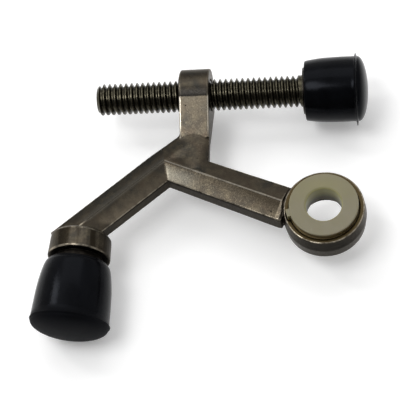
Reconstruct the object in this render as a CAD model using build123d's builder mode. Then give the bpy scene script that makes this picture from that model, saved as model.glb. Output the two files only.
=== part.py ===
from build123d import *
from math import cos, radians, sin, tan
import os

# Hinge-pin door stop: a Y-shaped casting that hangs on the hinge pin of a door.
# The origin is the centre of the hinge-pin ring. +Z runs up along the hinge pin, and +X runs
# along the adjusting screw towards its rubber cap. The fixed bumper points along -Y.
# All lengths are in millimetres and all angles in degrees.

os.makedirs("parts", exist_ok=True)

# Hinge-pin ring
ring_radius = 10.0
ring_face_radius = 9.65
ring_half_height = 3.46
pocket_radius = 8.38
pocket_floor_z = -0.2
floor_hole_radius = 5.6
key_angle = 192.8
key_width = 2.0
key_length = 2.0
key_reach = 9.05
key_bottom_z = 1.2
key_top_z = 5.0
key_clearance = 0.12

# Nylon bushing for a 5/16 in hinge pin
bushing_radius = 8.28
bushing_top_z = 5.1
bushing_groove_radius = 7.9
bushing_groove_low_z = 2.8
bushing_groove_high_z = 4.4
pin_hole_radius = 4.3
pin_hole_rounding = 0.5
bushing_edge_rounding = 0.2

# Adjusting screw, 5/16-18 UNC
inch = 25.4
thread_pitch = inch / 18
thread_radius = 3.97
thread_depth = 0.6134 * thread_pitch
crest_width = thread_pitch / 6
root_width = thread_pitch / 5
groove_overrun = 0.3
thread_runout = 0.4
screw_axis_y = 35.1
screw_left_x = -57.2
screw_chamfer = 0.8
bore_clearance = 0.08

# Eye and wedge-shaped post
post_centre_x = -32.02
post_width = 7.44
eye_radius = 6.65
wedge_slope = 21.3
wedge_start_angle = 34.0
post_foot_y = 21.7
collar_radius = 6.6
collar_shoulder_radius = 6.25
collar_tip_radius = 5.6
collar_height = 0.35
collar_shoulder_height = 0.15
collar_root = 0.3
post_rounding = 0.2

# Hub and arms
hub_x = -38.93
hub_y = 14.71
arm_width = 8.5
arm_ridge = 3.5
arm_side = 1.75
ring_arm_angle = -23.3
ring_arm_end_gap = 0.8
ring_arm_end_width = 9.3
ring_arm_end_side = 2.1
boss_arm_angle = -139.2
boss_arm_run = 32.7
hip_run = 8.5
hip_ridge = 2.1
hip_side = 1.35
slab_far_y = 24.2
slab_near_y = 12.5
slab_top_x = -32.9
slab_far_heights = (1.4, 1.75, 1.0)
slab_near_heights = (1.75, 3.3, 1.7)
groove_inner = 9.5
groove_outer = 10.1
groove_depth = 0.55
groove_side_depth = 0.1
groove_core_reach = 0.6
groove_core_length = 5.6

# Bumper boss
boss_front_x = -59.3
boss_front_y = -10.0
boss_tilt = 3.0
boss_length = 5.8
boss_front_radius = 7.62
boss_back_radius = 7.4
boss_rounding = 0.6
boss_edge_chamfer = 0.25
stud_hole_radius = 2.5
stud_hole_depth = 5.0
stud_length = 4.7

# Heads that carry the rubber caps
head_radius = 5.85
head_neck_radius = 4.3
head_collar_length = 2.0
head_neck_length = 2.2
head_bulb_length = 5.4
head_bulb_rounding = 1.2
spigot_radius = 2.9
spigot_length = 6.0

# Rubber caps: (distance from the mouth, radius) along each wall
cap_clearance = 0.15
stud_clearance = 0.05
cap_mouth_x = -4.6
cap_collar_shows = 0.5
cap_wall = [(0.0, 7.45), (1.2, 7.65), (4.0, 7.98), (8.0, 8.13), (12.5, 8.12)]
cap_ridge_radius = 9.0
cap_dome = 3.05
bumper_gap = 0.95
bumper_droop = 6.5
bumper_turn = 2.6
bumper_wall = [(0.0, 7.35), (1.2, 7.95), (4.0, 8.6), (8.0, 9.1), (15.0, 9.45)]
bumper_ridge_radius = 9.8
bumper_dome = 3.6
ridge_thickness = 0.4

root_radius = thread_radius - thread_depth
post_left_x = post_centre_x - post_width / 2
post_right_x = post_centre_x + post_width / 2
collar_left_x = cap_mouth_x - cap_collar_shows
up = Vector(0, 0, 1)


def heading(angle):
    """Unit vector in the XY plane at an angle from +X."""
    return Vector(cos(radians(angle)), sin(radians(angle)), 0)


def across_plane(point, angle):
    """Section plane through a point: local X to the left of the heading, local Y up."""
    return Plane(origin=point, x_dir=heading(angle + 90), z_dir=heading(angle))


def roof_outline(half_width, side, ridge):
    """Six-sided section of an arm, with a ridge along the top and the bottom."""
    Polyline(
        (-half_width, -side),
        (-half_width, side),
        (0, ridge),
        (half_width, side),
        (half_width, -side),
        (0, -ridge),
        close=True,
    )


def crowned_outline(left_height, top_height, right_height):
    """Section of the slab under the post, with a crowned top and bottom."""
    Line((post_left_x, -left_height), (post_left_x, left_height))
    Spline((post_left_x, left_height), (slab_top_x, top_height), (post_right_x, right_height))
    Line((post_right_x, right_height), (post_right_x, -right_height))
    Spline((post_right_x, -right_height), (slab_top_x, -top_height), (post_left_x, -left_height))


def head_outline(start, grow, closed_at):
    """Half section of a cap's head: collar, neck and bulb, grown outwards by a clearance."""
    neck_start = start + head_collar_length
    bulb_start = neck_start + head_neck_length
    bulb_end = bulb_start + head_bulb_length
    Polyline(
        (closed_at, 0),
        (closed_at, head_radius + grow),
        (neck_start + grow, head_radius + grow),
        (neck_start + grow, head_neck_radius + grow),
        (bulb_start - grow, head_neck_radius + grow),
        (bulb_start - grow, head_radius + grow),
        (bulb_end - head_bulb_rounding, head_radius + grow),
        (bulb_end + grow, head_radius - head_bulb_rounding + grow),
        (bulb_end + grow, 0),
        close=True,
    )


def cap_outline(wall, ridge_radius, dome):
    """Half section of a rubber cap, from its mouth at zero to the end of its dome."""
    length, radius = wall[-1]
    ridge_end = length + ridge_thickness
    Line((0, 0), wall[0])
    Spline(*wall)
    Polyline(
        (length, radius),
        (length, ridge_radius),
        (ridge_end, ridge_radius),
        (ridge_end, radius),
    )
    EllipticalCenterArc((ridge_end, 0), dome - ridge_thickness, radius, start_angle=0, arc_size=90)
    Line((ridge_end + dome - ridge_thickness, 0), (0, 0))


hub = Vector(hub_x, hub_y, 0)
boss_front = Vector(boss_front_x, boss_front_y, 0)
boss_heading = heading(-90 - boss_tilt)
bumper_heading = heading(-90 - boss_tilt - bumper_turn) - up * tan(radians(bumper_droop))

# Half sections of the turned parts lie in these planes: local X along the axis, local Y outwards.
screw_plane = Plane(origin=(0, screw_axis_y, 0), x_dir=(1, 0, 0), z_dir=(0, -1, 0))
boss_plane = Plane(origin=boss_front, x_dir=boss_heading, z_dir=boss_heading.cross(up))
bumper_plane = Plane(
    origin=boss_front + boss_heading * bumper_gap,
    x_dir=bumper_heading,
    z_dir=bumper_heading.cross(up).normalized(),
)
screw_axis = Axis(screw_plane.origin, screw_plane.x_dir)
boss_axis = Axis(boss_plane.origin, boss_plane.x_dir)
bumper_axis = Axis(bumper_plane.origin, bumper_plane.x_dir)


# ---- Casting ----

with BuildPart() as arm_casting:
    # Wedge-shaped post and the round eye for the screw
    with BuildSketch(Plane(origin=(post_left_x, 0, 0), x_dir=(0, 1, 0), z_dir=(1, 0, 0))):
        wedge_y = screw_axis_y - eye_radius * sin(radians(wedge_start_angle))
        wedge_z = eye_radius * cos(radians(wedge_start_angle))
        foot_z = wedge_z - (wedge_y - post_foot_y) * tan(radians(wedge_slope))
        with BuildLine():
            Polyline(
                (wedge_y, wedge_z),
                (post_foot_y, foot_z),
                (post_foot_y, -foot_z),
                (wedge_y, -wedge_z),
                (screw_axis_y, 0),
                close=True,
            )
        make_face()
        with Locations((screw_axis_y, 0)):
            Circle(eye_radius)
    extrude(amount=post_width)
    end_faces = arm_casting.faces().filter_by(Axis.X)
    fillet(end_faces.edges(), radius=post_rounding)

    # Arm from the bumper boss to the hub
    with BuildSketch(across_plane(hub, boss_arm_angle)) as arm_section:
        with BuildLine():
            roof_outline(arm_width / 2, arm_side, arm_ridge)
        make_face()
    extrude(amount=boss_arm_run)

    # Its tapering end under the post
    add(arm_section.sketch)
    with BuildSketch(across_plane(hub - heading(boss_arm_angle) * hip_run, boss_arm_angle)):
        with BuildLine():
            roof_outline(arm_width / 2, hip_side, hip_ridge)
        make_face()
    loft()

    # Arm to the ring, mitred against the other arm
    mitre_angle = (ring_arm_angle + boss_arm_angle) / 2
    mitre_stretch = 1 / sin(radians((ring_arm_angle - boss_arm_angle) / 2))
    ring_arm_run = hub.length - pocket_radius - ring_arm_end_gap
    ring_arm_end = hub + heading(ring_arm_angle) * ring_arm_run
    with BuildSketch(across_plane(hub, mitre_angle + 90)):
        with BuildLine():
            roof_outline(arm_width / 2 * mitre_stretch, arm_side, arm_ridge)
        make_face()
    with BuildSketch(across_plane(ring_arm_end, ring_arm_angle)):
        with BuildLine():
            roof_outline(ring_arm_end_width / 2, ring_arm_end_side, arm_ridge)
        make_face()
    loft(ruled=True)

    # Groove round the ring where the arm meets it
    with BuildSketch(Plane.XY.offset(-arm_ridge)):
        Circle(groove_outer)
        Circle(groove_inner, mode=Mode.SUBTRACT)
    extrude(amount=2 * arm_ridge, mode=Mode.SUBTRACT)
    core_end = ring_arm_end + heading(ring_arm_angle) * groove_core_reach
    with BuildSketch(across_plane(core_end, ring_arm_angle)):
        with BuildLine():
            roof_outline(
                ring_arm_end_width / 2 - groove_side_depth,
                ring_arm_end_side - groove_side_depth,
                arm_ridge - groove_depth,
            )
        make_face()
    extrude(amount=-groove_core_length)

    # Slab under the post
    for slab_y, heights in ((slab_far_y, slab_far_heights), (slab_near_y, slab_near_heights)):
        with BuildSketch(Plane(origin=(0, slab_y, 0), x_dir=(1, 0, 0), z_dir=(0, -1, 0))):
            with BuildLine():
                crowned_outline(*heights)
            make_face()
    loft()

    # Bumper boss
    with BuildSketch(boss_plane):
        with BuildLine():
            Polyline(
                (0, 0),
                (0, boss_front_radius - boss_edge_chamfer),
                (-boss_edge_chamfer, boss_front_radius),
                (boss_rounding - boss_length, boss_back_radius),
                (-boss_length, boss_back_radius - boss_rounding),
                (-boss_length, 0),
                close=True,
            )
        make_face()
    revolve(axis=boss_axis)

    # Ring for the hinge pin
    with BuildSketch(Plane.XZ):
        with BuildLine():
            Polyline(
                (floor_hole_radius, -ring_half_height),
                (ring_face_radius, -ring_half_height),
                (ring_radius, 0),
                (ring_face_radius, ring_half_height),
                (floor_hole_radius, ring_half_height),
                close=True,
            )
        make_face()
    revolve(axis=Axis.Z)

    # Pocket for the bushing, with its key slot
    with BuildSketch(Plane.XY.offset(pocket_floor_z)):
        Circle(pocket_radius)
    extrude(amount=2 * arm_ridge, mode=Mode.SUBTRACT)
    with BuildSketch(Plane.XY.offset(-arm_ridge)):
        Circle(floor_hole_radius)
    extrude(amount=2 * arm_ridge, mode=Mode.SUBTRACT)
    with BuildSketch(Plane.XY.offset(key_bottom_z - key_clearance)):
        with PolarLocations(key_reach / 2 + key_clearance, 1, start_angle=key_angle):
            Rectangle(key_reach, key_width + 2 * key_clearance)
    extrude(amount=arm_ridge, mode=Mode.SUBTRACT)

    # Low rounded collar on the left of the eye, and the screw's hole
    with BuildSketch(screw_plane):
        with BuildLine():
            Polyline(
                (post_centre_x, 0),
                (post_centre_x, collar_radius),
                (post_left_x + collar_root, collar_radius),
                (post_left_x - collar_shoulder_height, collar_shoulder_radius),
                (post_left_x - collar_height, collar_tip_radius),
                (post_left_x - collar_height, 0),
                close=True,
            )
        make_face()
    revolve(axis=screw_axis)
    with BuildSketch(Plane(origin=(post_right_x, screw_axis_y, 0), z_dir=(-1, 0, 0))):
        Circle(thread_radius + bore_clearance)
    extrude(amount=post_width + collar_height, mode=Mode.SUBTRACT)

    # Hole for the bumper stud
    with BuildSketch(boss_plane):
        with BuildLine():
            Polyline(
                (0, 0),
                (0, stud_hole_radius),
                (-stud_hole_depth, stud_hole_radius),
                (-stud_hole_depth, 0),
                close=True,
            )
        make_face()
    revolve(axis=boss_axis, mode=Mode.SUBTRACT)

arm_casting.part.label = "arm_casting"
export_step(arm_casting.part, "parts/arm_casting.step")


# ---- Bushing ----

with BuildPart() as hinge_pin_bushing:
    with BuildSketch(Plane.XZ):
        with BuildLine():
            Polyline(
                (pin_hole_radius, pocket_floor_z),
                (bushing_radius, pocket_floor_z),
                (bushing_radius, bushing_groove_low_z),
                (bushing_groove_radius, bushing_groove_low_z),
                (bushing_groove_radius, bushing_groove_high_z),
                (bushing_radius, bushing_groove_high_z),
                (bushing_radius, bushing_top_z),
                (pin_hole_radius, bushing_top_z),
                close=True,
            )
        make_face()
    revolve(axis=Axis.Z)
    top_face = hinge_pin_bushing.faces().sort_by(Axis.Z)[-1]
    fillet(top_face.edges().sort_by(SortBy.RADIUS)[0], radius=pin_hole_rounding)
    top_face = hinge_pin_bushing.faces().sort_by(Axis.Z)[-1]
    fillet(top_face.edges().sort_by(SortBy.RADIUS)[-1], radius=bushing_edge_rounding)
    with BuildSketch(Plane.XY.offset(key_bottom_z)):
        with PolarLocations(key_reach - key_length / 2, 1, start_angle=key_angle):
            Rectangle(key_length, key_width)
    extrude(amount=key_top_z - key_bottom_z)

hinge_pin_bushing.part.label = "hinge_pin_bushing"
export_step(hinge_pin_bushing.part, "parts/hinge_pin_bushing.step")


# ---- Adjusting screw ----

groove_start = Vector(screw_left_x - 1.2 * thread_pitch, screw_axis_y, 0)
groove_top = thread_depth + groove_overrun
groove_flank = (thread_pitch - crest_width - root_width) / 2 / thread_depth * groove_top

with BuildPart() as adjuster_rod:
    with BuildSketch(screw_plane):
        with BuildLine():
            Polyline(
                (screw_left_x, 0),
                (screw_left_x, thread_radius - screw_chamfer),
                (screw_left_x + screw_chamfer, thread_radius),
                (collar_left_x, thread_radius),
                (collar_left_x, spigot_radius),
                (collar_left_x + spigot_length, spigot_radius),
                (collar_left_x + spigot_length, 0),
                close=True,
            )
        make_face()
    revolve(axis=screw_axis)
    # Helical groove that leaves the thread
    with BuildLine() as groove_path:
        Helix(
            pitch=thread_pitch,
            height=collar_left_x - thread_runout - groove_start.X,
            radius=root_radius,
            center=groove_start,
            direction=(1, 0, 0),
        )
    groove_origin = groove_path.line @ 0
    groove_outward = (groove_origin - groove_start).normalized()
    groove_heading = Vector(1, 0, 0).cross(groove_outward)
    with BuildSketch(Plane(origin=groove_origin, x_dir=(1, 0, 0), z_dir=groove_heading)):
        with BuildLine():
            Polyline(
                (-root_width / 2, 0),
                (root_width / 2, 0),
                (root_width / 2 + groove_flank, groove_top),
                (-root_width / 2 - groove_flank, groove_top),
                close=True,
            )
        make_face()
    sweep(is_frenet=True, mode=Mode.SUBTRACT)

adjuster_rod.part.label = "adjuster_rod"
export_step(adjuster_rod.part, "parts/adjuster_rod.step")


# ---- Head pressed on the end of the screw ----

with BuildPart() as adjuster_head:
    with BuildSketch(screw_plane):
        with BuildLine():
            head_outline(collar_left_x, 0, collar_left_x)
        make_face()
    revolve(axis=screw_axis)
    with BuildSketch(screw_plane):
        with BuildLine():
            Polyline(
                (collar_left_x, 0),
                (collar_left_x, spigot_radius),
                (collar_left_x + spigot_length, spigot_radius),
                (collar_left_x + spigot_length, 0),
                close=True,
            )
        make_face()
    revolve(axis=screw_axis, mode=Mode.SUBTRACT)

adjuster_head.part.label = "adjuster_head"
export_step(adjuster_head.part, "parts/adjuster_head.step")


# ---- Rubber cap on the screw ----

with BuildPart() as adjuster_cap:
    with BuildSketch(Plane(origin=(cap_mouth_x, screw_axis_y, 0), x_dir=(1, 0, 0), z_dir=(0, -1, 0))):
        with BuildLine():
            cap_outline(cap_wall, cap_ridge_radius, cap_dome)
        make_face()
    revolve(axis=screw_axis)
    with BuildSketch(screw_plane):
        with BuildLine():
            head_outline(collar_left_x, cap_clearance, cap_mouth_x - 1)
        make_face()
    revolve(axis=screw_axis, mode=Mode.SUBTRACT)

adjuster_cap.part.label = "adjuster_cap"
export_step(adjuster_cap.part, "parts/adjuster_cap.step")


# ---- Stud pressed into the boss ----

with BuildPart() as bumper_stud:
    with BuildSketch(boss_plane):
        with BuildLine():
            head_outline(0, 0, 0)
        make_face()
    revolve(axis=boss_axis)
    with BuildSketch(boss_plane):
        with BuildLine():
            Polyline(
                (0, 0),
                (0, stud_hole_radius),
                (-stud_length, stud_hole_radius),
                (-stud_length, 0),
                close=True,
            )
        make_face()
    revolve(axis=boss_axis)

bumper_stud.part.label = "bumper_stud"
export_step(bumper_stud.part, "parts/bumper_stud.step")


# ---- Rubber bumper on the stud ----

with BuildPart() as bumper_cap:
    with BuildSketch(bumper_plane):
        with BuildLine():
            cap_outline(bumper_wall, bumper_ridge_radius, bumper_dome)
        make_face()
    revolve(axis=bumper_axis)
    with BuildSketch(boss_plane):
        with BuildLine():
            head_outline(0, stud_clearance, -1)
        make_face()
    revolve(axis=boss_axis, mode=Mode.SUBTRACT)

bumper_cap.part.label = "bumper_cap"
export_step(bumper_cap.part, "parts/bumper_cap.step")
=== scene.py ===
"""Looks of the hinge-pin door stop: materials, rubber caps, studio floor, lights and camera."""

from math import cos, pi, radians, sin, tan
from types import SimpleNamespace

import bmesh
import bpy
import numpy as np
from mathutils import Matrix, Vector


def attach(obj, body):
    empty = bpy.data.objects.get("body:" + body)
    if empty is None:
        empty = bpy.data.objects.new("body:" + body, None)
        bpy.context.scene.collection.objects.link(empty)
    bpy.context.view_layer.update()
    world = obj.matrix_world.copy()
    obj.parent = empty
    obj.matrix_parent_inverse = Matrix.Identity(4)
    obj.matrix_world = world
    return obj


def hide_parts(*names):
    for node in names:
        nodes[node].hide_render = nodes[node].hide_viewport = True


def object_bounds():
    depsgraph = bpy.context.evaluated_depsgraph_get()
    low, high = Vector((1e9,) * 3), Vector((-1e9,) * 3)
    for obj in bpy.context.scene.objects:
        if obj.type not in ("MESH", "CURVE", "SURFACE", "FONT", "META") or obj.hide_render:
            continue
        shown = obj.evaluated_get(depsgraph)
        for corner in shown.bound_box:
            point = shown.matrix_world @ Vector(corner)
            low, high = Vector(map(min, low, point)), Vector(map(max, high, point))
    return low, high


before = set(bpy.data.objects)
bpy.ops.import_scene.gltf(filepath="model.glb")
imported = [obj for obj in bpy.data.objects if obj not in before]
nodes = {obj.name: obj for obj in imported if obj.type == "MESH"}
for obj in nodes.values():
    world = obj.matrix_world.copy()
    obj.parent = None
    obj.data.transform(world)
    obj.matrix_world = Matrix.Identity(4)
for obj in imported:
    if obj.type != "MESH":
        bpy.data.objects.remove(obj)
cad_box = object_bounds()
mm = 0.001
white = (1, 1, 1)

# ---- Sizes of the CAD model that the looks follow: metres, and degrees from +X ----

# Ring and bushing
ring_radius = 10.0 * mm
ring_face_radius = 9.65 * mm
ring_rim_z = 3.0 * mm
pin_hole_radius = 4.3 * mm
bushing_radius = 8.28 * mm
bushing_top = 5.1 * mm
bushing_groove_top = 4.4 * mm

# Arms
hub = Vector((-38.93, 14.71, 0.0)) * mm
ring_arm_angle = -23.3
ring_arm_length = 31.4 * mm
boss_arm_angle = -139.2
mitre_angle = (ring_arm_angle + boss_arm_angle) / 2 + 90
arm_half_width = 4.25 * mm
arm_side = 1.75 * mm
boss_top_y = -2.0 * mm

# Post: a wedge from its foot up to the crease, then the eye round the screw
post_left_x = -35.74 * mm
post_right_x = -28.30 * mm
wedge_foot_y = 21.5 * mm
crease_y = 31.5 * mm
screw_axis_y = 35.1 * mm

# Rubber caps
screw_cap_mouth = Vector((-4.6 * mm, screw_axis_y, 0.0))
boss_face = Vector((-59.3, -10.0, 0.0)) * mm
boss_angle = -93.0
bumper_gap = 0.95 * mm
bumper_angle = -95.6
bumper_droop = 6.5
bumper_length = 15.0 * mm


# ---- Camera ----

def make_camera(target, distance, azimuth, elevation, roll, lens):
    """Camera that looks at a target; azimuth 0 looks along +Y, as in the frame."""
    a, e = radians(azimuth), radians(elevation)
    forward = Vector((-sin(a) * cos(e), cos(a) * cos(e), -sin(e)))
    data = bpy.data.cameras.new("camera")
    data.lens = lens
    data.sensor_width = 36.0
    data.clip_start = 0.01
    data.clip_end = 20.0
    camera = bpy.data.objects.new("camera", data)
    bpy.context.scene.collection.objects.link(camera)
    turn = Matrix.Rotation(radians(roll), 4, -forward)
    level = forward.to_track_quat("-Z", "Y").to_matrix().to_4x4()
    camera.matrix_world = Matrix.Translation(target - forward * distance) @ turn @ level
    bpy.context.scene.camera = camera


# ---- Studio ----

def make_floor(height, size):
    """Level pale floor, left out of the part itself."""
    bpy.ops.mesh.primitive_grid_add(x_subdivisions=8, y_subdivisions=8, size=size, location=(0, 0, height))
    floor = bpy.context.object
    floor.name = "floor"
    floor.data.materials.append(floor_material())


def make_softbox(name, offset, size_x, size_y, radiance):
    """Rectangular softbox aimed at the part, as bright at any size; offset is from the part's middle."""
    target = Vector((-30, 5, 0)) * mm
    data = bpy.data.lights.new(name, "AREA")
    data.shape = "RECTANGLE"
    data.size = size_x
    data.size_y = size_y
    data.energy = radiance * pi * size_x * size_y
    data.color = white
    lamp = bpy.data.objects.new(name, data)
    bpy.context.scene.collection.objects.link(lamp)
    lamp.location = target + Vector(offset)
    lamp.rotation_euler = (-Vector(offset)).to_track_quat("-Z", "Y").to_euler()


def make_world(light, dark, flag_direction, flag_start, flag_full):
    """Plain grey studio, darker towards a black flag in one direction."""
    world = bpy.data.worlds.new("studio")
    bpy.context.scene.world = world
    world.use_nodes = True
    tree = world.node_tree
    direction = tree.nodes.new("ShaderNodeTexCoord").outputs["Generated"]
    towards = tree.nodes.new("ShaderNodeVectorMath")
    towards.operation = "DOT_PRODUCT"
    towards.inputs[1].default_value = Vector(flag_direction).normalized()
    tree.links.new(direction, towards.inputs[0])
    level = tree.nodes.new("ShaderNodeMapRange")
    level.interpolation_type = "SMOOTHSTEP"
    level.inputs["From Min"].default_value = flag_start
    level.inputs["From Max"].default_value = flag_full
    level.inputs["To Min"].default_value = light
    level.inputs["To Max"].default_value = dark
    tree.links.new(towards.outputs["Value"], level.inputs["Value"])
    tree.links.new(level.outputs["Result"], tree.nodes["Background"].inputs["Strength"])
    tree.nodes["Background"].inputs["Color"].default_value = (*white, 1)


# ---- Material building ----

class Surface:
    """A Principled material whose patterns are set in the object's own coordinates, in metres."""

    def __init__(self, name, **values):
        self.material = bpy.data.materials.new(name)
        self.material.use_nodes = True
        self.tree = self.material.node_tree
        self.shader = self.tree.nodes["Principled BSDF"]
        self.coordinates = self.add("ShaderNodeTexCoord").outputs["Object"]
        self.set(**values)

    def add(self, kind, **settings):
        """New node of a kind, with its settings."""
        node = self.tree.nodes.new(kind)
        for key, value in settings.items():
            setattr(node, key, value)
        return node

    def put(self, socket, value):
        """Links an output to a socket, or sets the socket's own value."""
        if isinstance(value, bpy.types.NodeSocket):
            self.tree.links.new(value, socket)
        else:
            socket.default_value = value

    def set(self, **sockets):
        """Sets or links the shader's sockets, named with _ for a space; returns the material."""
        for key, value in sockets.items():
            self.put(self.shader.inputs[key.replace("_", " ")], value)
        return self.material

    def noise(self, size, detail=3.0, roughness=0.55, stretch=(1, 1, 1), distortion=0.0):
        """Noise whose features are about size metres across."""
        mapping = self.add("ShaderNodeMapping")
        self.put(mapping.inputs["Vector"], self.coordinates)
        mapping.inputs["Scale"].default_value = stretch
        node = self.add("ShaderNodeTexNoise")
        self.put(node.inputs["Vector"], mapping.outputs["Vector"])
        node.inputs["Scale"].default_value = 1 / size
        node.inputs["Detail"].default_value = detail
        node.inputs["Roughness"].default_value = roughness
        node.inputs["Distortion"].default_value = distortion
        return node.outputs["Fac"]

    def specks(self, size, threshold, width):
        """Small round spots, 1 inside and 0 outside."""
        node = self.add("ShaderNodeTexVoronoi")
        self.put(node.inputs["Vector"], self.coordinates)
        node.inputs["Scale"].default_value = 1 / size
        return self.ramp(node.outputs["Distance"], threshold, threshold + width, 1.0, 0.0)

    def ramp(self, value, start, end, out_start=0.0, out_end=1.0):
        """Straight ramp between two values, level before and after them."""
        node = self.add("ShaderNodeMapRange")
        self.put(node.inputs["Value"], value)
        node.inputs["From Min"].default_value = start
        node.inputs["From Max"].default_value = end
        node.inputs["To Min"].default_value = out_start
        node.inputs["To Max"].default_value = out_end
        return node.outputs["Result"]

    def math(self, operation, a, b):
        """One sum on two values, held between 0 and 1."""
        node = self.add("ShaderNodeMath", operation=operation, use_clamp=True)
        self.put(node.inputs[0], a)
        self.put(node.inputs[1], b)
        return node.outputs[0]

    def product(self, first, *others):
        """Product of masks: full only where all of them are."""
        for other in others:
            first = self.math("MULTIPLY", first, other)
        return first

    def near(self, value, centre, reach):
        """1 where a value is within reach of a centre, 0 elsewhere."""
        node = self.add("ShaderNodeMath", operation="COMPARE")
        self.put(node.inputs[0], value)
        node.inputs[1].default_value = centre
        node.inputs[2].default_value = reach
        return node.outputs[0]

    def mix(self, factor, a, b):
        """Colour a where factor is 0, colour b where it is 1."""
        node = self.add("ShaderNodeMix", data_type="RGBA")
        self.put(node.inputs["Factor"], factor)
        for socket, value in ((node.inputs[6], a), (node.inputs[7], b)):
            self.put(socket, value if isinstance(value, bpy.types.NodeSocket) else (*value, 1))
        return node.outputs[2]

    def rounded_normal(self, radius):
        """Normal as if the edges were rounded to a radius."""
        node = self.add("ShaderNodeBevel", samples=6)
        node.inputs["Radius"].default_value = radius
        return node.outputs["Normal"]

    def edges(self, radius, sharp, smooth):
        """1 on outer and inner edges sharper than a radius, 0 on smooth faces."""
        geometry = self.add("ShaderNodeNewGeometry")
        dot = self.add("ShaderNodeVectorMath", operation="DOT_PRODUCT")
        self.put(dot.inputs[0], self.rounded_normal(radius))
        self.put(dot.inputs[1], geometry.outputs["Normal"])
        return self.ramp(dot.outputs["Value"], smooth, sharp)

    def stand_out(self):
        """How far the surface stands out from its surroundings, in mm."""
        return self.add("ShaderNodeAttribute", attribute_name="stand_out").outputs["Fac"]

    def axis(self, name):
        """The X, Y or Z object coordinate, in metres."""
        split = self.add("ShaderNodeSeparateXYZ")
        self.put(split.inputs[0], self.coordinates)
        return split.outputs[name]

    def along(self, origin, angle):
        """Distance from an origin along a level direction, in metres."""
        offset = self.add("ShaderNodeVectorMath", operation="SUBTRACT")
        self.put(offset.inputs[0], self.coordinates)
        offset.inputs[1].default_value = origin
        dot = self.add("ShaderNodeVectorMath", operation="DOT_PRODUCT")
        self.put(dot.inputs[0], offset.outputs["Vector"])
        dot.inputs[1].default_value = (cos(radians(angle)), sin(radians(angle)), 0)
        return dot.outputs["Value"]

    def radius(self):
        """Distance from the hinge pin's axis, in metres."""
        flat = self.add("ShaderNodeVectorMath", operation="MULTIPLY")
        self.put(flat.inputs[0], self.coordinates)
        flat.inputs[1].default_value = (1, 1, 0)
        length = self.add("ShaderNodeVectorMath", operation="LENGTH")
        self.put(length.inputs[0], flat.outputs["Vector"])
        return length.outputs["Value"]

    def upright(self):
        """1 on vertical walls, 0 on level faces."""
        split = self.add("ShaderNodeSeparateXYZ")
        self.put(split.inputs[0], self.add("ShaderNodeNewGeometry").outputs["Normal"])
        level = self.add("ShaderNodeMath", operation="ABSOLUTE")
        self.put(level.inputs[0], split.outputs["Z"])
        steepest_face, flattest_wall = 0.65, 0.25
        return self.ramp(level.outputs[0], steepest_face, flattest_wall)

    def openness(self, distance):
        """1 in the open, falling to 0 in corners and grooves."""
        node = self.add("ShaderNodeAmbientOcclusion", samples=8)
        node.inputs["Distance"].default_value = distance
        return node.outputs["AO"]

    def bump(self, heights, soft_edge=None):
        """Bumps from (height, depth in metres) pairs, on edges rounded to soft_edge if it is given."""
        normal = self.rounded_normal(soft_edge) if soft_edge else None
        for height, depth in heights:
            node = self.add("ShaderNodeBump")
            node.inputs["Distance"].default_value = depth
            self.put(node.inputs["Height"], height)
            if normal is not None:
                self.put(node.inputs["Normal"], normal)
            normal = node.outputs["Normal"]
        self.set(Normal=normal)


# ---- Floor ----

def floor_material():
    """Pale paper that gives a little light of its own, so that the shadows stay pale."""
    s = Surface("floor_pale", Roughness=0.75, Specular_IOR_Level=0.2)
    s.set(Emission_Color=(*white, 1), Emission_Strength=0.18)
    pale, paler = (0.93, 0.93, 0.93), (0.95, 0.95, 0.95)
    return s.set(Base_Color=s.mix(s.noise(0.35, detail=2), pale, paler))


# ---- Antique nickel ----

nickel = SimpleNamespace(
    grey=(0.036, 0.034, 0.029),
    brown=(0.060, 0.048, 0.035),
    blotch=(0.078, 0.066, 0.047),
    grain=(0.125, 0.105, 0.070),
    # painted reflection streaks along the boss
    painted_boss_streaks=(0.018, 0.014, 0.009),
    # painted shade and painted highlight on the ring arm's near side
    facet_shade=(0.016, 0.013, 0.009),
    hub_highlight=(0.155, 0.143, 0.115),
    # painted highlight, painted shade and painted ridge lines on the boss arm
    painted_highlight=(0.165, 0.137, 0.100),
    far_side_shade=(0.016, 0.017, 0.016),
    ridge_highlight_band=(0.086, 0.080, 0.068),
    boss_ridge=(0.022, 0.019, 0.014),
    # painted highlight line along the ring arm's ridge
    ring_ridge_highlight=(0.125, 0.115, 0.098),
    # painted highlight on the wedge, painted shade on the collar and the eye
    wedge=(0.082, 0.069, 0.050),
    collar=(0.010, 0.009, 0.008),
    eye_foot_shade=(0.015, 0.014, 0.013),
    eye_top_shade=(0.020, 0.020, 0.019),
    # painted shade on upright walls
    wall_shade_dark=(0.004, 0.0040, 0.0038),
    wall_shade_light=(0.014, 0.0125, 0.0105),
    worn=(0.42, 0.37, 0.29),
    # painted highlight on edges, and painted shade under the arms' near edges
    edge_highlight=(0.62, 0.57, 0.48),
    under_edge_shade=(0.001, 0.001, 0.0008),
    crevice=(0.012, 0.009, 0.005),
    # painted brown reflection on the ring's seat
    ring_seat_reflection=(0.048, 0.035, 0.015),
    pit=(0.008, 0.007, 0.006),
)


def nickel_patterns(s):
    """The plating's patterns, from large clouds to fine grain, and its few pits."""
    return SimpleNamespace(
        cloud=s.noise(6 * mm, detail=4, distortion=0.8),
        patch=s.noise(2.2 * mm, detail=4, roughness=0.65),
        grain=s.noise(0.42 * mm, detail=4, roughness=0.75),
        fine=s.noise(0.13 * mm, detail=2, roughness=0.7),
        brush=s.noise(2.0 * mm, detail=4, roughness=0.55, stretch=(1.0, 0.10, 1.0)),
        streak=s.noise(1.0 * mm, detail=4, roughness=0.7, stretch=(0.35, 0.35, 2.2)),
        pit=s.specks(2.6 * mm, 0.045, 0.03),
    )


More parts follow.
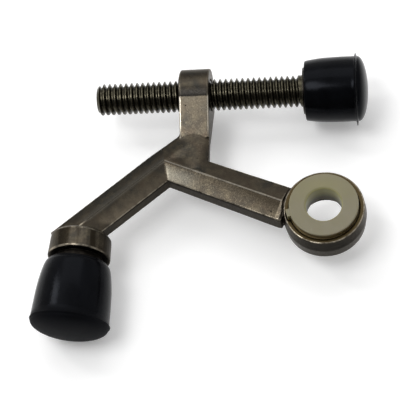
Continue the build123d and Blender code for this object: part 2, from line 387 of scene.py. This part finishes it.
def nickel_places(s):
    """Where a point is on the casting.

    A run is the distance along an arm from the hub, and an out is the distance from the arm's ridge
    towards its near side.
    """
    x, y, z = s.axis("X"), s.axis("Y"), s.axis("Z")
    wall = s.upright()
    ring_run = s.along(hub, ring_arm_angle)
    beyond_mitre = s.along(hub, mitre_angle)
    ring_arm_end = s.ramp(ring_run, ring_arm_length, ring_arm_length - 0.2 * mm)
    boss_arm_end = s.ramp(y, boss_top_y, boss_top_y + 1 * mm)
    return SimpleNamespace(
        x=x,
        y=y,
        z=z,
        wall=wall,
        face=s.math("SUBTRACT", 1.0, wall),
        ring_run=ring_run,
        ring_out=s.along(hub, ring_arm_angle - 90),
        boss_run=s.along(hub, boss_arm_angle),
        boss_out=s.along(hub, boss_arm_angle + 90),
        ring_arm=s.product(s.ramp(beyond_mitre, 0.0, 0.2 * mm), ring_arm_end),
        boss_arm=s.product(s.ramp(beyond_mitre, 0.0, -0.2 * mm), boss_arm_end),
        below_crease=s.ramp(y, crease_y + 0.10 * mm, crease_y - 0.05 * mm),
        above_crease=s.ramp(y, crease_y - 0.05 * mm, crease_y + 0.10 * mm),
    )


def nickel_patina(s, pattern, at):
    """Mottled dark patina, grainy on the arms, with dark painted reflection streaks along the boss."""
    base = s.mix(s.ramp(pattern.cloud, 0.35, 0.65), nickel.grey, nickel.brown)
    base = s.mix(s.ramp(pattern.patch, 0.46, 0.70), base, nickel.blotch)
    calm_post = s.ramp(at.y, wedge_foot_y + 2.5 * mm, wedge_foot_y + 0.5 * mm, 0.20, 1.0)
    base = s.mix(s.product(s.ramp(pattern.grain, 0.54, 0.70, 0.0, 0.6), calm_post), base, nickel.grain)
    # Dark streaks along the boss are painted reflection bands.
    on_boss = s.ramp(at.y, boss_top_y, boss_top_y - 3 * mm)
    return s.mix(s.product(on_boss, s.ramp(pattern.brush, 0.42, 0.58, 0.0, 0.85)), base, nickel.painted_boss_streaks)


def nickel_ring_arm(s, at, base):
    """The ring arm's near side: painted shade towards its ridge and its ring end, and a painted highlight
    by the hub.
    """
    near_side = s.product(at.ring_arm, s.ramp(at.ring_out, 0.0, 0.1 * mm))
    # Painted shade towards the ridge and the ring end, and a painted highlight by the hub.
    shade_by_ridge = s.ramp(at.ring_out, 0.2 * mm, 3.8 * mm, 0.60, 0.0)
    shade_by_ring_end = s.ramp(at.ring_run, 5 * mm, 29 * mm, 0.0, 0.58)
    base = s.mix(s.product(s.math("ADD", shade_by_ridge, shade_by_ring_end), near_side), base, nickel.facet_shade)
    highlight_by_hub = s.ramp(at.ring_run, 11 * mm, 1 * mm, 0.0, 0.85)
    off_ridge = s.ramp(at.ring_out, 0.5 * mm, 2.5 * mm)
    return s.mix(s.product(highlight_by_hub, off_ridge, near_side), base, nickel.hub_highlight)


def nickel_boss_arm(s, pattern, at, base):
    """The boss arm: patchy painted highlights near its lower edge and boss end, painted shade on its far
    side, a painted highlight band beside its ridge and a painted shade line on it.
    """
    # Painted highlights near the lower edge and boss end, painted shade on the far side.
    lower_edge = s.ramp(at.boss_out, 0.8 * mm, 3.8 * mm)
    boss_end = s.ramp(at.boss_run, 4 * mm, 20 * mm, 0.35, 0.85)
    patchy = s.ramp(pattern.patch, 0.30, 0.60, 0.5, 1.0)
    base = s.mix(s.product(lower_edge, boss_end, patchy, at.boss_arm), base, nickel.painted_highlight)
    far_side_shade = s.ramp(at.boss_out, -1.4 * mm, -3.8 * mm, 0.0, 0.60)
    base = s.mix(s.product(far_side_shade, at.boss_arm), base, nickel.far_side_shade)
    rising = s.ramp(at.boss_out, -1.8 * mm, -0.2 * mm, 0.0, 0.75)
    falling = s.ramp(at.boss_out, 0.7 * mm, 0.1 * mm)
    base = s.mix(s.product(rising, falling, at.boss_arm), base, nickel.ridge_highlight_band)
    # Painted highlight band beside the ridge, and a painted shade line on the ridge itself.
    ridge = s.near(at.boss_out, 0.0, 0.16 * mm)
    return s.mix(s.product(ridge, at.boss_arm, 0.8), base, nickel.boss_ridge)


def nickel_post(s, at, base):
    """The post: a painted highlight on the wedge up to the crease, painted shade on the eye above it and on
    the collar on its left.
    """
    wedge_highlight = s.ramp(at.y, wedge_foot_y + 4.5 * mm, wedge_foot_y + 8.5 * mm, 0.0, 0.5)
    base = s.mix(s.product(wedge_highlight, at.below_crease), base, nickel.wedge)
    # Painted shade on the collar left of the eye.
    past_left = s.ramp(at.x, post_left_x + 0.09 * mm, post_left_x - 0.06 * mm)
    collar_start = s.ramp(at.y, screw_axis_y - 7.1 * mm, screw_axis_y - 6.1 * mm, 0.0, 0.85)
    collar_end = s.ramp(at.y, screw_axis_y + 6.9 * mm, screw_axis_y + 6.8 * mm)
    base = s.mix(s.product(past_left, collar_start, collar_end), base, nickel.collar)
    eye_foot_shade = s.ramp(at.y, crease_y + 2.9 * mm, crease_y + 1.1 * mm, 0.0, 0.88)
    base = s.mix(s.product(eye_foot_shade, at.above_crease), base, nickel.eye_foot_shade)
    eye_top_shade = s.ramp(at.y, screw_axis_y + 1.1 * mm, screw_axis_y + 2.9 * mm, 0.0, 0.55)
    return s.mix(eye_top_shade, base, nickel.eye_top_shade)


def nickel_walls(s, pattern, at, base):
    """Upright walls, and the ring's side below its rim: painted shade, near black, with streaks down them.
    """
    wall_shade = s.mix(s.ramp(pattern.streak, 0.35, 0.65), nickel.wall_shade_dark, nickel.wall_shade_light)
    base = s.mix(s.product(at.wall, 0.85), base, wall_shade)
    radius = s.radius()
    inside = s.ramp(radius, ring_radius + 0.5 * mm, ring_radius + 0.3 * mm)
    outside = s.ramp(radius, ring_face_radius - 0.15 * mm, ring_face_radius + 0.05 * mm, 0.0, 0.70)
    below_rim = s.ramp(at.z, ring_rim_z + 0.1 * mm, ring_rim_z - 0.1 * mm)
    return s.mix(s.product(inside, outside, below_rim), base, wall_shade)


def nickel_wear(s, pattern, at, base):
    """Bright wear on level edges that stand out: little on the eye, none on the boss arm's ridge."""
    boss_ridge = s.product(s.near(at.boss_out, 0.0, 0.5 * mm), at.boss_arm)
    worn = s.product(
        s.ramp(s.stand_out(), 0.008, 0.028),
        s.ramp(pattern.patch, 0.38, 0.60, 0.15, 1.0),
        s.math("SUBTRACT", at.face, boss_ridge),
        s.ramp(at.y, crease_y, crease_y + 0.5 * mm, 1.0, 0.25),
        s.ramp(pattern.grain, 0.30, 0.55, 0.45, 1.0),
    )
    return s.mix(worn, base, nickel.worn)


def nickel_edge_lines(s, pattern, at, base):
    """Painted shade lines under the arms' near edges, and painted highlight lines along the ring arm's
    ridge and the wedge's edges.
    """
    edge_start, edge_full = arm_half_width - 0.75 * mm, arm_half_width - 0.45 * mm
    under_edge_shade = s.product(
        s.ramp(at.z, arm_side - 0.95 * mm, arm_side - 0.35 * mm),
        s.math("ADD", at.ring_arm, at.boss_arm),
        at.wall,
        s.math("ADD", *(s.ramp(out, edge_start, edge_full) for out in (at.ring_out, at.boss_out))),
    )
    base = s.mix(under_edge_shade, base, nickel.under_edge_shade)
    ridge = s.near(at.ring_out, 0.05 * mm, 0.14 * mm)
    patchy = s.ramp(pattern.patch, 0.30, 0.55, 0.35, 0.9)
    base = s.mix(s.product(ridge, at.ring_arm, patchy), base, nickel.ring_ridge_highlight)
    for edge, strength in ((post_left_x + 0.19 * mm, 1.0), (post_right_x - 0.18 * mm, 0.55)):
        line = s.near(at.x, edge, 0.20 * mm)
        fading = s.ramp(at.y, wedge_foot_y, wedge_foot_y + 2.5 * mm, 0.0, strength)
        base = s.mix(s.product(line, at.face, at.below_crease, fading), base, nickel.edge_highlight)
    return base


def nickel_hollows(s, pattern, at, base):
    """Dirt in the corners but not in the crease, a painted brown reflection on the ring's seat, and pits.
    """
    crease = s.product(s.near(at.y, crease_y, 0.7 * mm), at.face)
    clean = s.math("MAXIMUM", s.ramp(s.openness(1.6 * mm), 0.35, 0.90), crease)
    base = s.mix(clean, nickel.crevice, base)
    # Painted brown reflection on the ring's seat.
    seat_edge = s.ramp(s.radius(), ring_face_radius - 0.25 * mm, ring_face_radius - 0.33 * mm, 0.0, 0.88)
    upper_side = s.ramp(at.z, 1 * mm, 2 * mm)
    base = s.mix(s.product(seat_edge, upper_side), base, nickel.ring_seat_reflection)
    return s.mix(pattern.pit, base, nickel.pit)


def nickel_material():
    """Antique nickel plate on a die casting: dark patina, bright worn edges, fine cast grain, and painted
    light and shade on its arms, post and walls.
    """
    s = Surface("antique_nickel", Metallic=1.0, Specular_Tint=(0.76, 0.74, 0.71, 1))
    pattern = nickel_patterns(s)
    at = nickel_places(s)
    base = nickel_patina(s, pattern, at)
    base = nickel_ring_arm(s, at, base)
    base = nickel_boss_arm(s, pattern, at, base)
    base = nickel_post(s, at, base)
    base = nickel_walls(s, pattern, at, base)
    base = nickel_wear(s, pattern, at, base)
    base = nickel_edge_lines(s, pattern, at, base)
    base = nickel_hollows(s, pattern, at, base)
    smooth_post = s.ramp(at.y, wedge_foot_y - 0.5 * mm, wedge_foot_y + 2.5 * mm, 1.0, 0.35)
    s.bump([
        (pattern.patch, 0.012 * mm),
        (s.product(pattern.grain, smooth_post), 0.009 * mm),
        (pattern.fine, 0.003 * mm),
        (pattern.pit, -0.05 * mm),
    ])
    return s.set(Base_Color=base, Roughness=s.ramp(pattern.grain, 0.35, 0.65, 0.38, 0.25))


# ---- Steel, nylon and rubber ----

def thread_material():
    """Plated rolled thread, with painted shade near black in its grooves and painted brassy glints on its
    crests.
    """
    s = Surface("dark_steel", Metallic=1.0)
    dark, light, painted_highlight = (0.040, 0.036, 0.025), (0.075, 0.068, 0.047), (0.26, 0.235, 0.17)
    painted_groove_shade = (0.006, 0.005, 0.003)
    patch = s.noise(1.8 * mm, detail=4, roughness=0.65)
    grain = s.noise(0.30 * mm, detail=3, roughness=0.7)
    crests = s.edges(0.16 * mm, sharp=0.80, smooth=0.985)
    base = s.mix(s.ramp(patch, 0.40, 0.65), dark, light)
    # Painted glints on the crests.
    base = s.mix(s.product(crests, s.ramp(patch, 0.30, 0.60, 0.35, 1.0)), base, painted_highlight)
    # Painted shade in the grooves.
    base = s.mix(s.ramp(s.openness(0.9 * mm), 0.20, 0.75), painted_groove_shade, base)
    s.bump([(patch, 0.015 * mm), (grain, 0.012 * mm)], soft_edge=0.06 * mm)
    return s.set(Base_Color=base, Roughness=s.ramp(grain, 0.35, 0.65, 0.36, 0.22))


def head_material():
    """Blackened steel heads under the rubber caps, a little worn on their edges."""
    s = Surface("head_steel", Metallic=1.0)
    black, dark, worn = (0.008, 0.007, 0.006), (0.020, 0.017, 0.014), (0.12, 0.11, 0.09)
    patch = s.noise(1.5 * mm, detail=3)
    grain = s.noise(0.25 * mm, detail=3, roughness=0.7)
    base = s.mix(s.ramp(patch, 0.4, 0.65), black, dark)
    base = s.mix(s.edges(0.3 * mm, sharp=0.88, smooth=0.99), base, worn)
    s.bump([(patch, 0.010 * mm), (grain, 0.008 * mm)], soft_edge=0.10 * mm)
    return s.set(Base_Color=base, Roughness=s.ramp(grain, 0.35, 0.65, 0.45, 0.30))


def nylon_material():
    """Ivory nylon, a little translucent, yellow-green towards its bore, with fine scuffs, painted light and
    shade down its bore and a painted brown reflection under its lip.
    """
    s = Surface("ivory_nylon", Specular_IOR_Level=0.35)
    s.set(Subsurface_Weight=0.25, Subsurface_Scale=1.2 * mm, Subsurface_Radius=(1.0, 0.8, 0.4))
    ivory, warm_ivory, scuffed = (0.183, 0.165, 0.099), (0.194, 0.174, 0.116), (0.28, 0.26, 0.20)
    yellowed, shaded = (0.205, 0.190, 0.070), (0.105, 0.092, 0.036)
    bore_mouth_light, bore_inside_shade = (0.34, 0.32, 0.15), (0.060, 0.052, 0.030)
    groove_brown_reflection, groove_shade = (0.20, 0.145, 0.060), (0.075, 0.055, 0.024)
    cloud = s.noise(7 * mm, detail=3, distortion=0.4)
    patch = s.noise(1.1 * mm, detail=3)
    scuff = s.noise(0.5 * mm, detail=4, roughness=0.7, stretch=(1.0, 0.18, 1.0))
    radius, height = s.radius(), s.axis("Z")

    # Top face: mottled and scuffed, yellower behind the bore, darker in the corners.
    base = s.mix(s.ramp(cloud, 0.35, 0.65), ivory, warm_ivory)
    base = s.mix(s.ramp(scuff, 0.62, 0.76, 0.0, 0.3), base, scuffed)
    behind_bore = s.product(s.ramp(s.axis("Y"), 0.0, 6 * mm), s.ramp(radius, 9 * mm, 4.5 * mm))
    base = s.mix(s.product(behind_bore, 0.7), base, yellowed)
    base = s.mix(s.ramp(s.openness(4.0 * mm), 0.45, 0.85), shaded, base)

    # Bore: painted light at its mouth, fading to painted shade inside.
    bore = s.mix(s.ramp(height, bushing_top - 1.5 * mm, bushing_top - 4.5 * mm), bore_mouth_light, bore_inside_shade)
    base = s.mix(s.ramp(radius, pin_hole_radius + 0.30 * mm, pin_hole_radius + 0.03 * mm), base, bore)

    # Groove under the lip: a painted brown reflection, and painted shade right under the lip.
    below_lip = s.ramp(height, bushing_top - 0.2 * mm, bushing_top - 0.4 * mm)
    inside = s.ramp(radius, bushing_radius + 0.12 * mm, bushing_radius + 0.07 * mm)
    outside = s.ramp(radius, 6.0 * mm, 7.5 * mm)
    shade = s.ramp(height, bushing_groove_top - 0.05 * mm, bushing_groove_top + 0.05 * mm)
    base = s.mix(s.product(below_lip, inside, outside), base, s.mix(shade, groove_brown_reflection, groove_shade))
    s.bump([(patch, 0.010 * mm), (scuff, 0.005 * mm)], soft_edge=0.15 * mm)
    return s.set(Base_Color=base, Roughness=s.ramp(scuff, 0.4, 0.7, 0.45, 0.34))


def rubber_material():
    """Moulded black rubber: satin, with a bloom in patches, duller on the bumper's domed end."""
    s = Surface("black_rubber", IOR=1.15, Specular_Tint=(0.80, 0.86, 1.0, 1))
    black, dark, bloom = (0.0014, 0.0015, 0.0019), (0.0026, 0.0028, 0.0036), (0.0055, 0.0058, 0.0066)
    cloud = s.noise(5 * mm, detail=4, distortion=0.5)
    patch = s.noise(0.8 * mm, detail=4, roughness=0.65)
    grain = s.noise(0.16 * mm, detail=2)
    base = s.mix(s.ramp(cloud, 0.38, 0.66), black, dark)
    base = s.mix(s.ramp(patch, 0.60, 0.75, 0.0, 0.4), base, bloom)
    s.bump([(cloud, 0.05 * mm), (patch, 0.010 * mm), (grain, 0.004 * mm)])
    dome_start, dome_full = bumper_length + 0.2 * mm, bumper_length + 1.6 * mm
    dome = s.ramp(s.along(boss_face, bumper_angle), dome_start, dome_full, 0.0, 0.45)
    satin = s.ramp(cloud, 0.35, 0.65, 0.18, 0.24)
    return s.set(Base_Color=base, Roughness=s.math("ADD", satin, dome))


# ---- Pieces ----

def assign(node, material):
    """Gives a CAD node its finished material in every slot."""
    slots = nodes[node].material_slots
    for slot in slots:
        slot.material = material


def add_piece(name, mesh, body, slot, material, *replaced):
    """Adds a mesh as a piece that rides on a body and replaces CAD nodes."""
    piece = bpy.data.objects.new(name, mesh)
    bpy.context.scene.collection.objects.link(piece)
    mesh.materials.clear()
    mesh.materials.append(material)
    mesh.shade_smooth()
    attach(piece, body)
    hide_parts(*replaced)


def heading(angle, droop=0.0):
    """Direction at an angle from +X, dropped below the horizontal by some degrees."""
    return Vector((cos(radians(angle)), sin(radians(angle)), -tan(radians(droop)))).normalized()


# ---- Casting mesh ----

def dense_mesh(node, voxel):
    """Evenly dense copy of a CAD node's mesh."""
    piece = bpy.data.objects.new(node + "_dense", nodes[node].data.copy())
    bpy.context.scene.collection.objects.link(piece)
    remesh = piece.modifiers.new("dense", "REMESH")
    remesh.mode = "VOXEL"
    remesh.voxel_size = voxel
    bpy.context.view_layer.update()
    graph = bpy.context.evaluated_depsgraph_get()
    dense = bpy.data.meshes.new_from_object(piece.evaluated_get(graph))
    bpy.data.objects.remove(piece)
    return dense


def relaxed(points, pairs, rounds, weight=1.0):
    """Points moved towards the mean of their neighbours, half the way at full weight, a number of times."""
    a, b = pairs
    ends = np.concatenate((a, b))
    others = np.concatenate((b, a))
    degree = np.bincount(ends, minlength=len(points))[:, None]
    for _ in range(rounds):
        total = np.stack([np.bincount(ends, points[others, k], len(points)) for k in range(3)], axis=1)
        points = points + 0.5 * weight * (total / degree - points)
    return points


def eased_mesh(node, voxel, rounds, soft_spot, soft_radius, soft_rounds):
    """Dense copy of a CAD node with eased edges, and a softer blend round one spot.

    Its "stand_out" attribute says how far a point stands out from its surroundings, in mm.
    """
    mesh = dense_mesh(node, voxel)
    points = np.empty(len(mesh.vertices) * 3)
    mesh.vertices.foreach_get("co", points)
    points = points.reshape(-1, 3)
    pairs = np.empty(len(mesh.edges) * 2, np.int32)
    mesh.edges.foreach_get("vertices", pairs)
    pairs = pairs.reshape(-1, 2).T
    reach = np.linalg.norm(points - np.array(soft_spot), axis=1) / soft_radius
    weight = np.clip(1 - reach ** 2, 0, 1)[:, None] ** 2
    points = relaxed(points, pairs, soft_rounds, weight)
    points = relaxed(points, pairs, rounds)
    mesh.vertices.foreach_set("co", points.ravel())
    mesh.update()
    normals = np.empty(len(mesh.vertices) * 3)
    mesh.vertex_normals.foreach_get("vector", normals)
    surroundings = relaxed(points, pairs, rounds=6)
    stand_out = ((points - surroundings) * normals.reshape(-1, 3)).sum(axis=1) / mm
    mesh.attributes.new("stand_out", "FLOAT", "POINT").data.foreach_set("value", stand_out)
    return mesh


# ---- Rubber cap mesh ----

def curve_through(points, steps):
    """Catmull-Rom curve through 2-D points."""
    padded = [points[0], *points, points[-1]]
    curve = []
    for a, b, c, d in zip(padded, padded[1:], padded[2:], padded[3:]):
        for k in range(steps):
            t = k / steps
            weights = (
                (-t + 2 * t ** 2 - t ** 3) / 2,
                (2 - 5 * t ** 2 + 3 * t ** 3) / 2,
                (t + 4 * t ** 2 - 3 * t ** 3) / 2,
                (-t ** 2 + t ** 3) / 2,
            )
            curve.append(tuple(sum(w * v for w, v in zip(weights, values)) for values in zip(a, b, c, d)))
    return curve + [points[-1]]


def arc(centre, radii, start, end, steps):
    """Elliptical arc as (distance, radius) points, angles in degrees from the axis."""
    turns = [radians(start + (end - start) * k / steps) for k in range(steps + 1)]
    return [(centre[0] + radii[0] * cos(t), centre[1] + radii[1] * sin(t)) for t in turns]


def cap_inside(cavity, mouth_radius, lip, inner_lip=0.35, end_rounding=0.3, steps=8):
    """Outline of a cap's cavity from its end to the mouth, and on round the lip."""
    depth, cavity_mouth, cavity_end = cavity
    outline = [(depth, 0.0), (depth, cavity_end / 2)]
    outline += [(depth, cavity_end - end_rounding), (depth - end_rounding, cavity_end)]
    for k in range(steps - 1, 0, -1):
        share = k / steps
        outline.append((lip + (depth - lip) * share, cavity_mouth + (cavity_end - cavity_mouth) * share))
    inner_centre = (inner_lip, cavity_mouth + inner_lip)
    outline += arc(inner_centre, (inner_lip, inner_lip), start=270, end=180, steps=4)
    outline += arc((lip, mouth_radius - lip), (lip, lip), start=180, end=90, steps=6)
    return outline


def cap_wall(wall, lip, shoulder=0.9, step=0.02):
    """Outline of a cap's swelling wall, from just past the lip to the shoulder under its flash fin."""
    length, end_radius = wall[-1]
    start = (lip + step, wall[0][1] + step)
    end = (length - shoulder, end_radius - step / 2)
    return curve_through([start, *wall[1:-1], end], steps=8)[1:]


def cap_fin(end_radius, fin_radius, foot):
    """Outline of the thin flash fin, as distances from its middle; foot is half its width at the wall."""
    waist, tip, tip_rounding = 0.16, 0.11, 0.05
    halfway = (end_radius + fin_radius) / 2
    return [
        (-foot - 0.08, end_radius + 0.02),
        (-foot + 0.02, end_radius + 0.10),
        (-waist, halfway),
        (-tip, fin_radius - tip_rounding),
        (0.0, fin_radius),
        (tip, fin_radius - tip_rounding),
        (waist, halfway),
        (foot, end_radius + 0.06),
    ]


def fin_height(turn, tallest_turn):
    """Share of its full height that the uneven flash fin has at a turn."""
    waves = 0.55 * cos(turn - tallest_turn) + 0.25 * sin(5 * turn + 2.0) + 0.20 * sin(11 * turn)
    return 1 - 0.26 * (1 - waves)


def skin(name, rings):
    """Closed mesh over rings of points, in which a ring of one point is a pole."""
    shape = bmesh.new()
    rings = [[shape.verts.new(point) for point in ring] for ring in rings]
    around = max(len(ring) for ring in rings)
    for a, b in zip(rings, rings[1:]):
        for step in range(around):
            after = (step + 1) % around
            corners = [a[step % len(a)], a[after % len(a)], b[after % len(b)], b[step % len(b)]]
            shape.faces.new(list(dict.fromkeys(corners)))
    bmesh.ops.recalc_face_normals(shape, faces=shape.faces[:])
    mesh = bpy.data.meshes.new(name)
    shape.to_mesh(mesh)
    shape.free()
    return mesh


def rubber_cap_mesh(name, mouth, direction, wall, fin_radius, dome, cavity, lip, flash_angle):
    """Turned rubber cap: cavity, rounded lip, swelling wall, thin uneven flash fin and low dome.

    The mouth is a place in metres. The wall is (distance from the mouth, radius) points and the
    cavity is (depth, mouth radius, end radius), all in millimetres, as are the other sizes.
    """
    length, end_radius = wall[-1]
    fin_at = length + 0.2
    fin_foot = 0.32
    profile = cap_inside(cavity, wall[0][1], lip) + cap_wall(wall, lip)
    fin_start = len(profile)
    fin = cap_fin(end_radius, fin_radius, fin_foot)
    profile += [(fin_at + distance, radius) for distance, radius in fin]
    fin_end = len(profile)
    dome_start = fin_at + fin_foot + 0.05
    dome_radii = (length + dome - dome_start, end_radius - 0.02)
    profile += arc((dome_start, 0), dome_radii, start=90, end=0, steps=18)

    z = direction.normalized()
    x = Vector((0, 0, 1)).cross(z).normalized()
    y = z.cross(x)
    around = 160
    smallest_ring = 0.001
    rings = []
    for k, (distance, radius) in enumerate(profile):
        centre = mouth + z * distance * mm
        if radius < smallest_ring:
            rings.append([centre])
            continue
        ring = []
        for step in range(around):
            turn = 2 * pi * step / around
            out = radius
            if fin_start < k < fin_end - 1:
                out = end_radius + (radius - end_radius) * fin_height(turn, radians(flash_angle))
            ring.append(centre + (x * cos(turn) + y * sin(turn)) * out * mm)
        rings.append(ring)
    return skin(name, rings)


# ---- The part ----

casting = eased_mesh(
    "arm_casting",
    voxel=0.17 * mm,
    rounds=4,
    soft_spot=Vector((-35.0, 17.0, 0.0)) * mm,
    soft_radius=8.5 * mm,
    soft_rounds=80,
)
add_piece("cast_arms", casting, "frame", "antique_nickel", nickel_material(), "arm_casting")
assign("hinge_pin_bushing", nylon_material())
assign("adjuster_rod", thread_material())
steel = head_material()
assign("adjuster_head", steel)
assign("bumper_stud", steel)

rubber = rubber_material()
cap_mesh = rubber_cap_mesh(
    "screw_cap",
    mouth=screw_cap_mouth,
    direction=heading(0),
    wall=[(0.0, 7.45), (1.2, 7.65), (4.0, 7.98), (8.0, 8.13), (12.5, 8.12)],
    fin_radius=9.3,
    dome=3.05,
    cavity=(9.4, 6.0, 6.0),
    lip=0.25,
    flash_angle=180,
)
add_piece("screw_cap", cap_mesh, "tip", "black_rubber", rubber, "adjuster_cap")
bumper_mesh = rubber_cap_mesh(
    "fixed_bumper",
    mouth=boss_face + heading(boss_angle) * bumper_gap,
    direction=heading(bumper_angle, bumper_droop),
    wall=[(0.0, 7.35), (1.2, 7.95), (4.0, 8.6), (8.0, 9.1), (bumper_length / mm, 9.45)],
    fin_radius=9.8,
    dome=3.6,
    cavity=(9.0, 6.0, 7.0),
    lip=0.5,
    flash_angle=0,
)
add_piece("fixed_bumper", bumper_mesh, "frame", "black_rubber", rubber, "bumper_cap")


# ---- Set ----

make_camera(
    target=Vector((-30.3, 5.1, 0.0)) * mm,
    distance=383.1 * mm,
    azimuth=15.41,
    elevation=60.36,
    roll=-15.56,
    lens=141.86,
)
make_floor(height=cad_box[0][2] - 0.2 * mm, size=3.0)
make_world(light=0.70, dark=0.12, flag_direction=(-0.1, -0.85, 0.45), flag_start=0.45, flag_full=0.90)
make_softbox("key", (-0.135, -0.085, 0.47), size_x=0.22, size_y=0.17, radiance=7.5)
make_softbox("strip", (-0.40, 0.20, 0.46), size_x=0.08, size_y=0.20, radiance=9.0)
make_softbox("top", (-0.02, 0.32, 0.50), size_x=0.60, size_y=0.36, radiance=1.3)
bpy.context.scene.view_settings.view_transform = "Standard"
